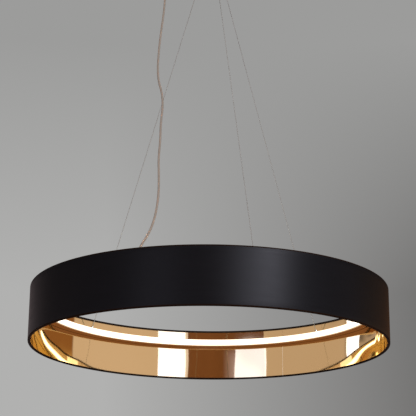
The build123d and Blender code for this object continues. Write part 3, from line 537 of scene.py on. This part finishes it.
        # Wool felt: brown and quite dull. A cool glow painted on it by emission stands in for the left
        # softbox's spill, no higher than the softbox's own upper edge. Mirrored twice, the felt shows pale,
        # also a glow painted by emission.
        spill_start, spill_full, spill_glow = -0.58, -1.10, 0.56
        spill_top, spill_under = -0.12, -0.205
        pale_glow = 1.2
        felt = grained("brown_felt_painted_glow", "#A66F4F", "#9C684A", 40.0, rough=(0.9, 1.0), depth_mm=0.2,
                       Specular_IOR_Level=0.0, Emission_Color=(0.46, 0.48, 0.82, 1.0))
        tree = felt.node_tree
        place = add(tree, "ShaderNodeTexCoord").outputs["Object"]
        part = add(tree, "ShaderNodeSeparateXYZ", {0: place}).outputs
        bounces = add(tree, "ShaderNodeLightPath").outputs["Glossy Depth"]
        beside, under, twice = (
            add(tree, "ShaderNodeMapRange", {0: axis, 1: start, 2: full, 3: 0.0, 4: most}).outputs[0]
            for axis, start, full, most in (
                (part["X"], spill_start, spill_full, spill_glow),
                (part["Z"], spill_top, spill_under, 1.0),
                (bounces, *TWICE, pale_glow),
            )
        )
        # Painted light: emission in place of the softbox's spill, and a pale glow where the felt is mirrored
        # twice
        painted_spill = add(tree, "ShaderNodeMath", {0: beside, 1: under}, operation="MULTIPLY").outputs[0]
        painted_spill = add(tree, "ShaderNodeMath", {0: painted_spill, 1: twice}, operation="MAXIMUM").outputs[0]
        tree.links.new(painted_spill, tree.nodes["Principled BSDF"].inputs["Emission Strength"])
        return felt


class PENDANT_OT_cords(bpy.types.Operator):
    """The three suspension wires and the clear power cord"""

    bl_idname = "pendant.cords"
    bl_label = "Wires and cord"

    def execute(self, context):
        sizes, colours = context.scene.pendant_sizes, context.scene.pendant_colours
        self.wires(sizes)
        self.cord(sizes, colours)
        return {"FINISHED"}

    def wires(self, sizes):
        """Six strands carried along a taut line, turning once in each lay."""
        strands, dent, sides, steps = 6, 0.07, 18, 480
        near_end = 6 * sizes.wire
        # Galvanised wire rope: bright strands with grey shade between them
        steel = grained("galvanised_wire_rope", "#E2F0EE", "#CBD9D7", 1.4, rough=(0.5, 0.62), depth_mm=0.01,
                        Metallic=1.0)
        for n, turn in zip(WIRE_NUMBERS, WIRE_ANGLES):
            top, end = wire_ends(turn)
            run = (end - top) / np.linalg.norm(end - top)
            route = np.array((top, top + near_end * run, end - near_end * run, end))
            line, along = spline_points(route, steps)
            wire = tube(f"wire_rope_{n}", line, along, sizes.wire / 2, sides, strands, dent, sizes.wire_lay)
            dressed(wire, steel, f"wire_{n}")
            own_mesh(wire)

    def cord(self, sizes, colours):
        """A round sheath carried along the route's spline, and two stranded cores that twist inside it."""
        strands, dent, apart = 7, 0.1, 0.56 * sizes.core
        sides, core_sides, steps = 20, 12, 24
        # Clear PVC: glassy, with the copper showing through
        clear = grained("clear_pvc_sheath", "#E2D8CC", "#D6CBBC", 6.0, rough=(0.08, 0.18), depth_mm=0.02,
                        Transmission_Weight=0.65, IOR=1.45)
        # Bunched copper wires: warm metal, finely ribbed
        copper = grained("stranded_copper", colours.copper, "#A56B46", 0.8, rough=(0.3, 0.42), depth_mm=0.05,
                         Metallic=1.0)
        line, along = spline_points(CORD_ROUTE, steps)
        sheath = tube("power_cord_sheath", line, along, sizes.cord / 2, sides)
        dressed(sheath, clear, "power_cord")
        # The cores stop just short of the sheath's closed ends
        core_line, core_along = line[2:-2], along[2:-2]
        cores = []
        for n, phase in enumerate((0.0, np.pi), 1):
            core = tube(f"power_cord_core_{n}", core_line, core_along, sizes.core / 2, core_sides, strands,
                        dent, sizes.core_lay, apart, phase)
            dressed(core, copper, "power_cord", replaces=False)
            cores.append(core)
        for piece in (sheath, *cores):
            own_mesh(piece)


class PENDANT_OT_shade(bpy.types.Operator):
    """The black wall with its rolled edges, and the mirror gold lining"""

    bl_idname = "pendant.shade"
    bl_label = "Drum shade"

    def execute(self, context):
        sizes, colours = context.scene.pendant_sizes, context.scene.pendant_colours
        self.wall(sizes, colours)
        self.link_lamps(self.lining(sizes, colours))
        return {"FINISHED"}

    def wall(self, sizes, colours):
        """An upright line with a half circle round each rim wire, out and back, carried round the axis."""
        radius, top, low = SHADE_HIGH.x, SHADE_HIGH.z - sizes.roll, SHADE_LOW.z + sizes.roll
        inner = sizes.roll - sizes.laminate
        ring = radius - sizes.roll
        upright = np.linspace(low, top, 12)[1:-1]
        profile = np.concatenate([
            np.c_[np.full(len(upright), radius), upright],
            arc((ring, top), sizes.roll, 0, 180, 15),
            arc((ring, top), inner, 180, 0, 11),
            arc((ring, low), inner, 0, -180, 11),
            [(ring - inner, low + sizes.hem), (ring - sizes.roll, low + sizes.hem)],
            arc((ring, low), sizes.roll, -180, 0, 15),
        ])
        lap_start, lap_end, lap_edge = np.radians((96.0, 97.9, 0.25))
        lap_rise = 0.4 * MM

        def lap(turn, points):
            """The wall's two ends lap at the back in a low step, with a short slope at each side."""
            slope = np.clip((turn - lap_start) / lap_edge, 0, 1) * np.clip((lap_end - turn) / lap_edge, 0, 1)
            return lap_rise * slope * (points[None, :, 0] > radius - SKIN)

        wall = turned("shade_wall", profile, full_turn(720), lap)
        # Cotton chintz laminated on PVC: satin black, with level threads that catch the light a little.
        # Real threads stand 0.4 mm apart; they are drawn about 3 mm high, or they would not show.
        chintz = grained("black_chintz_laminate", colours.laminate, "#101013", 3.0, stretch=(0.05, 0.05, 1.0),
                         rough=(0.36, 0.43), depth_mm=0.012, Specular_IOR_Level=0.13,
                         Specular_Tint=(0.86, 0.86, 1.0, 1.0))
        dressed(wall, chintz, "shade_outer")
        # Rolled over the rim wires, the laminate is dull. Its brownish black is painted warm light from the
        # gold lining and the lit band, on black laminate.
        rolled_glow = grained("rolled_laminate_painted_glow", colours.rolled, "#180B04", 3.0, rough=(0.7, 0.8),
                       depth_mm=0.02, Specular_IOR_Level=0.05)
        wall.data.materials.append(rolled_glow)
        centre = np.empty(3 * len(wall.data.polygons))
        wall.data.polygons.foreach_get("center", centre)
        rolled = (centre[2::3] > top) | (centre[2::3] < low)
        wall.data.polygons.foreach_set("material_index", rolled.astype(np.int32))

    def lining(self, sizes, colours):
        """A thin upright strip carried round the axis, with the relief of a glued film."""
        face = SHADE_HIGH.x - sizes.liner_gap
        top, low = SHADE_HIGH.z - sizes.roll + sizes.tuck, SHADE_LOW.z + 2 * sizes.roll - sizes.laminate
        rows = np.linspace(top, low, 25)
        profile = np.concatenate([
            np.c_[np.full(len(rows), face), rows],
            np.c_[np.full(len(rows), face + sizes.liner), rows[::-1]],
        ])
        # Counts of waves in a turn, each with how much it leans over the wave height
        waves = ((11, 1.0), (17, -2.0), (26, 3.0))
        seam, seam_half, seam_rise = math.radians(62.5), 0.5 * MM / face, 0.06 * MM
        buckle_place, buckle_spread, buckle_waves, buckle_lean = *np.radians((8.0, 5.0)), 80, 2.0
        bulge_place, bulge_spread = np.radians((18.0, 10.0))
        bulge_level, bulge_height = (BAND_LOW.z + SHADE_LOW.z) / 2, 26.0 * MM
        turn = np.unique(np.r_[
            full_turn(720),
            seam + seam_half * np.linspace(-1, 1, 9),
            buckle_place + buckle_spread * np.linspace(-1.5, 1.5, 91),
        ])

        def relief(angle, points):
            """All inwards: a sum of slow sine waves between the glue lines, and a ridge where the ends lap.

            At one place the film has come off the wall in a round bulge, a bell curve both ways, with short
            upright waves beside it, a cosine under a bell curve."""
            slant = points[None, :, 1] / sizes.wave_height
            wave = sum(np.sin(count * angle + lean * slant) for count, lean in waves) - len(waves)
            beside, around = (
                (angle - centre + np.pi) % (2 * np.pi) - np.pi for centre in (buckle_place, bulge_place)
            )
            short = ridges(buckle_waves * beside + buckle_lean * slant, 1)
            buckle = np.exp(-(beside / buckle_spread) ** 2) * short
            above = points[None, :, 1] - bulge_level
            bulge = np.exp(-(around / bulge_spread) ** 2 - (above / bulge_height) ** 2)
            ridge = np.clip(1 - np.abs(angle - seam) / seam_half, 0, 1) * (points[None, :, 0] < face + SKIN)
            slow = sizes.wave / (2 * len(waves)) * wave
            return slow - sizes.buckle * buckle - sizes.bulge * bulge - seam_rise * ridge

        lining = turned("gold_lining", profile, turn, relief)
        # Metallised film: a clear mirror, a little soft and wavy where it is glued to the wall
        gold = grained("mirror_gold_film", colours.gold, "#EFD395", 160.0, rough=(0.03, 0.055),
                       depth_mm=0.015, Metallic=1.0)
        return dressed(lining, gold, "gold_liner")

    def link_lamps(self, lining):
        # The lamps for the outside miss the lining and the wires. The lamps it mirrors reach only the lining.
        wires = [bpy.data.objects[f"wire_rope_{n}"] for n in WIRE_NUMBERS]
        for state, pieces, lamps in (
            ("EXCLUDE", (lining, *wires), ("softbox_right", "softbox_left", "key_right")),
            ("INCLUDE", (lining,), ("face_right", "rim_right", "face_left", "strip_left")),
        ):
            reach = bpy.data.collections.new(f"light_link_{state.lower()}")
            for piece in pieces:
                reach.objects.link(piece)
            for member in reach.collection_objects:
                member.light_linking.link_state = state
            for lamp in lamps:
                bpy.data.objects[lamp].light_linking.receiver_collection = reach


class PENDANT_OT_light(bpy.types.Operator):
    """The lit opal band on the channel"""

    bl_idname = "pendant.light"
    bl_label = "Lit band"

    def execute(self, context):
        sizes, colours = context.scene.pendant_sizes, context.scene.pendant_colours
        back, low, high = sizes.band_back, BAND_LOW.z, BAND_HIGH.z
        front, edge = back - sizes.band, sizes.band_edge
        # A rectangle with a quarter circle at its two front corners, carried round the axis
        profile = np.concatenate([
            [(back, low), (back, high)],
            arc((front + edge, high - edge), edge, 90, 180, 6),
            arc((front + edge, low + edge), edge, 180, 270, 6),
        ])
        band = turned("opal_band", profile, full_turn(480))
        dressed(band, self.opal(colours, (low + high) / 2, high - low), "diffuser")
        return {"FINISHED"}

    def opal(self, colours, middle, height):
        # Opal acrylic over the strip: an even warm glow, weaker and more amber along its two edges
        bright, dim, cloud_size = 3.4, 0.3, 30 * MM
        dim_start, amber_start, edge = 0.22 * height, 0.3 * height, 0.5 * height
        material = bpy.data.materials.new("lit_opal_acrylic")
        material.use_nodes = True
        tree = material.node_tree
        tree.nodes.clear()
        place = add(tree, "ShaderNodeTexCoord").outputs["Object"]
        level = add(tree, "ShaderNodeSeparateXYZ", {0: place}).outputs["Z"]
        away = add(tree, "ShaderNodeMath", {0: level, 1: -middle}, operation="ADD").outputs[0]
        away = add(tree, "ShaderNodeMath", {0: away}, operation="ABSOLUTE").outputs[0]
        glow = add(tree, "ShaderNodeMapRange", {0: away, 1: dim_start, 2: edge, 3: bright, 4: dim}).outputs[0]
        warm = add(tree, "ShaderNodeMapRange", {0: away, 1: amber_start, 2: edge}).outputs[0]
        tones = {0: warm, 6: opaque(colours.light), 7: opaque(colours.light_edge)}
        tone = add(tree, "ShaderNodeMix", tones, data_type="RGBA").outputs[2]
        clouds = {"Vector": place, "Scale": 1 / cloud_size, "Detail": 2.0}
        cloud = add(tree, "ShaderNodeTexNoise", clouds).outputs[0]
        gloss = add(tree, "ShaderNodeMapRange", {0: cloud, 3: 0.35, 4: 0.5}).outputs[0]
        shader = add(tree, "ShaderNodeBsdfPrincipled", {
            "Base Color": opaque("#F2EBDD"), "Roughness": gloss, "Emission Color": tone,
            "Emission Strength": glow,
        })
        add(tree, "ShaderNodeOutputMaterial", {"Surface": shader.outputs[0]})
        return material


class PENDANT_OT_canopy(bpy.types.Operator):
    """The pressed canopy and the ribbed cord gland under it"""

    bl_idname = "pendant.canopy"
    bl_label = "Canopy"

    def execute(self, context):
        sizes, colours = context.scene.pendant_sizes, context.scene.pendant_colours
        self.shell(sizes, colours)
        self.gland(sizes)
        return {"FINISHED"}

    def shell(self, sizes, colours):
        """A level floor, a quarter circle, an upright wall and a round lip, carried round the axis."""
        radius, low, bore = CANOPY_HIGH.x, CANOPY_LOW.z, 5.1 * MM
        outer, inner, sheet = sizes.canopy_edge, sizes.canopy_edge - sizes.sheet, sizes.sheet
        bend = (radius - outer, low + outer)
        spread = np.linspace(bore, radius - outer, 7)
        profile = np.concatenate([
            np.c_[spread, np.full(len(spread), low)][:-1],
            arc(bend, outer, -90, 0, 9),
            arc((radius - sheet / 2, CANOPY_HIGH.z - sheet / 2), sheet / 2, 0, 180, 7),
            arc(bend, inner, 0, -90, 7),
            np.c_[spread[::-1], np.full(len(spread), low + sheet)][1:],
        ])
        # Powder coat on pressed steel: satin black with a fine orange peel
        coat = grained("black_powder_coat", colours.canopy, "#1D1D20", 1.4, rough=(0.38, 0.48), depth_mm=0.03)
        dressed(turned("canopy_shell", profile, full_turn(256)), coat, "canopy_cover")

    def gland(self, sizes):
        """A tapered nose, a flange and a neck, all with eased corners, carried round the cord's axis."""
        low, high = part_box("canopy_gland")
        centre, flange = (low + high) / 2, (high.x - low.x) / 2
        hole, neck, nose, ease = sizes.cord / 2, 4.75 * MM, 4.15 * MM, 0.5 * MM
        floor = CANOPY_LOW.z
        seat = floor - 3.0 * MM
        rib_count, rib_depth = 24, 0.45 * MM
        profile = np.array([
            (hole, low.z + ease), (hole + ease, low.z), (nose - ease, low.z), (nose, low.z + ease),
            (neck, seat), (flange - ease, seat), (flange, seat + ease), (flange, floor - ease),
            (flange - ease, floor), (neck, floor), (neck, high.z - ease), (neck - ease, high.z),
            (hole, high.z),
        ])

        def ribs(turn, points):
            """Cosine ribs round the flange's edge."""
            return -rib_depth * (points[None, :, 0] > flange - ease / 2) * ridges(turn, rib_count)

        place = np.eye(4)
        place[:2, 3] = centre.x, centre.y
        # Moulded nylon: dull black with a spark-eroded texture
        nylon = grained("black_ribbed_nylon", *NYLON, 0.7, rough=(0.4, 0.55), depth_mm=0.02)
        dressed(turned("cord_gland", profile, full_turn(144), ribs, place), nylon, "canopy_gland")


class PENDANT_OT_grips(bpy.types.Operator):
    """Knurled caps, release sleeves and springs of the three wire grips"""

    bl_idname = "pendant.grips"
    bl_label = "Wire grips"

    def execute(self, context):
        sizes = context.scene.pendant_sizes
        # Nickel plate on knurled brass: bright ridges, darker valleys
        nickel = grained("knurled_nickel", "#D2CEC5", "#B9B5AC", 0.6, rough=(0.18, 0.3), depth_mm=0.006,
                         Metallic=1.0)
        # Turned brass, bare where a finger presses it: warm and bright
        brass = grained("bare_turned_brass", *BRASS, 0.8, rough=(0.22, 0.34), depth_mm=0.008, Metallic=1.0)
        # Bare drawn spring wire: cool grey with a soft shine
        steel = grained("bright_spring_steel", *STEEL, 7.0, rough=(0.32, 0.5), depth_mm=0.02, Metallic=1.0)
        # Profiles of radius and height along the wire: a cap and a sleeve with eased edges
        ease, hole, play = 0.5 * MM, 1.1 * MM, 0.1 * MM
        start, end, bore = sizes.cap_start, sizes.cap_start + sizes.cap, sizes.button + play
        out = end + sizes.button_out
        knurl_count, knurl_depth = 30, 0.3 * MM
        cap = np.array([
            (bore, start), (sizes.grip - ease, start), (sizes.grip, start + ease), (sizes.grip, end - ease),
            (sizes.grip - ease, end), (bore + ease / 2, end), (bore, end - ease / 2),
        ])
        sleeve = np.concatenate([
            [(hole, start), (sizes.button, start)],
            arc((sizes.button - ease, out - ease), ease, 0, 90, 6),
            arc((hole + ease / 2, out - ease / 2), ease / 2, 90, 180, 4),
        ])

        def knurl(turn, points):
            """Cosine ridges round the cap's rim."""
            return -knurl_depth * (points[None, :, 0] > sizes.grip - ease / 2) * ridges(turn, knurl_count)

        for n, angle in zip(WIRE_NUMBERS, WIRE_ANGLES):
            # The profiles' axis is the wire's, from the swivel head's centre down
            top, foot = wire_ends(angle)
            down = (foot - top) / np.linalg.norm(foot - top)
            place = np.eye(4)
            place[:3, 2] = down
            place[:3, 0] = -np.sin(angle), np.cos(angle), 0
            place[:3, 1] = np.cross(place[:3, 2], place[:3, 0])
            place[:3, 3] = top
            dressed(turned(f"grip_cap_{n}", cap, full_turn(180), knurl, place), nickel, f"gripper_cap_{n}")
            button = turned(f"release_sleeve_{n}", sleeve, full_turn(48), place=place)
            dressed(button, brass, f"gripper_plunger_{n}")
            spring = dressed(polished(f"gripper_spring_{n}"), steel, f"gripper_spring_{n}")
            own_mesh(spring)
        return {"FINISHED"}


class PENDANT_OT_finishes(bpy.types.Operator):
    """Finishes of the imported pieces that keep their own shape"""

    bl_idname = "pendant.finishes"
    bl_label = "Finishes"

    def execute(self, context):
        colours = context.scene.pendant_colours
        round_edge, cut_edge = 0.0, 0.3 * MM
        # Each finish, the nodes that take it as they are, those that are copied smooth, and their eased edge
        for material, kept, copied, edge in (
            # Extruded and anodised aluminium: faint die lines along its length, bright as a mirror
            (grained("gold_anodised_aluminium", colours.channel, "#E2C392", 1.6, rough=(0.03, 0.07),
                     depth_mm=0.001, rings=True, Metallic=1.0),
             ["led_channel", "channel_joiner"], [], round_edge),
            # Drawn steel wire with a black coat: dark and half dull
            (grained("black_coated_steel", "#232325", "#18181A", 2.0, rough=(0.35, 0.5)),
             ["rim_wire_top", "rim_wire_bottom"], [], round_edge),
            # Foam tape: closed cells, dull
            (grained("grey_foam_tape", "#3A3A3C", "#2A2A2C", 0.8, rough=(0.8, 0.95), depth_mm=0.1),
             ["mounting_tape"], [], round_edge),
            # Flexible circuit with white solder mask: pale and half glossy
            (grained("white_solder_mask", "#EDEDE8", "#E0E0DA", 3.0, rough=(0.35, 0.5)),
             ["led_strip"], [], round_edge),
            # Phosphor under clear silicone: a glossy yellow
            (grained("yellow_phosphor", "#F4DC8A", "#E8C860", 0.5, rough=(0.2, 0.3)),
             ["led_chips"], [], round_edge),
            # Nickel plate on turned brass: bright, with faint turning lines
            (grained("satin_nickel_plate", "#CFCBC2", "#B5B1A8", 0.9, stretch=(1, 1, 4), rough=(0.2, 0.32),
                     depth_mm=0.008, Metallic=1.0),
             [],
             ["finial_nut", "suspension_hub", *[f"wire_anchor_{n}" for n in WIRE_NUMBERS],
              *[f"gripper_body_{n}" for n in WIRE_NUMBERS]], round_edge),
            # Zinc plate: cool grey with a cloudy passivated bloom
            (grained("zinc_plated_steel", *STEEL, 7.0, rough=(0.32, 0.5), depth_mm=0.02, Metallic=1.0),
             ["anchor_nuts", *[f"wire_ball_{n}" for n in WIRE_NUMBERS],
              *[f"gripper_balls_{n}" for n in WIRE_NUMBERS]],
             ["ceiling_bracket", "nipple", "nipple_nuts", "hub_screws", "stud_nuts", "joiner_screws"],
             cut_edge),
            # Turned brass: warm and bright
            (grained("turned_brass", *BRASS, 0.8, rough=(0.22, 0.34), depth_mm=0.008, Metallic=1.0),
             [], ["earth_screw", "terminal_screws"], cut_edge),
            # Moulded polycarbonate: off-white with a spark-eroded texture
            (grained("white_moulded_polycarbonate", "#E6E5E0", "#DAD9D3", 0.7, rough=(0.45, 0.6),
                     depth_mm=0.02),
             ["strip_connector"], ["led_driver", "terminal_block"], cut_edge),
            # Moulded nylon: dull black with a spark-eroded texture
            (grained("black_moulded_nylon", *NYLON, 0.7, rough=(0.4, 0.55), depth_mm=0.02),
             [], ["gland_nut", "cord_connector"], cut_edge),
            # Clear polycarbonate: glassy, with a faint warm tint
            (grained("clear_polycarbonate", "#F4F0E8", "#EAE4DA", 3.0, rough=(0.08, 0.16),
                     Transmission_Weight=1.0, IOR=1.58),
             [], ["cord_bush"], round_edge),
        ):
            for name in kept:
                NODES[name].data.materials.clear()
                NODES[name].data.materials.append(material)
            for name in copied:
                dressed(polished(name, edge), material, name)
        return {"FINISHED"}


class VIEW3D_PT_pendant(bpy.types.Panel):
    """Sizes, colours and the pieces of the pendant"""

    bl_label = "LED ring pendant"
    bl_space_type = "VIEW_3D"
    bl_region_type = "UI"
    bl_category = "Pendant"

    def draw(self, context):
        for group in (context.scene.pendant_sizes, context.scene.pendant_colours):
            column = self.layout.column()
            for name in group.__annotations__:
                column.prop(group, name)
        for operator in OPERATORS:
            self.layout.operator(operator.bl_idname)


OPERATORS = (PENDANT_OT_stage, PENDANT_OT_cords, PENDANT_OT_shade, PENDANT_OT_light, PENDANT_OT_canopy,
             PENDANT_OT_grips, PENDANT_OT_finishes)
CLASSES = (PendantSizes, PendantColours, *OPERATORS, VIEW3D_PT_pendant)


def register():
    for each in CLASSES:
        bpy.utils.register_class(each)
    bpy.types.Scene.pendant_sizes = bpy.props.PointerProperty(type=PendantSizes)
    bpy.types.Scene.pendant_colours = bpy.props.PointerProperty(type=PendantColours)


def unregister():
    del bpy.types.Scene.pendant_colours
    del bpy.types.Scene.pendant_sizes
    for each in reversed(CLASSES):
        bpy.utils.unregister_class(each)


def main():
    register()
    bpy.ops.pendant.stage()
    bpy.ops.pendant.cords()
    bpy.ops.pendant.shade()
    bpy.ops.pendant.light()
    bpy.ops.pendant.canopy()
    bpy.ops.pendant.grips()
    bpy.ops.pendant.finishes()


if __name__ == "__main__":
    main()
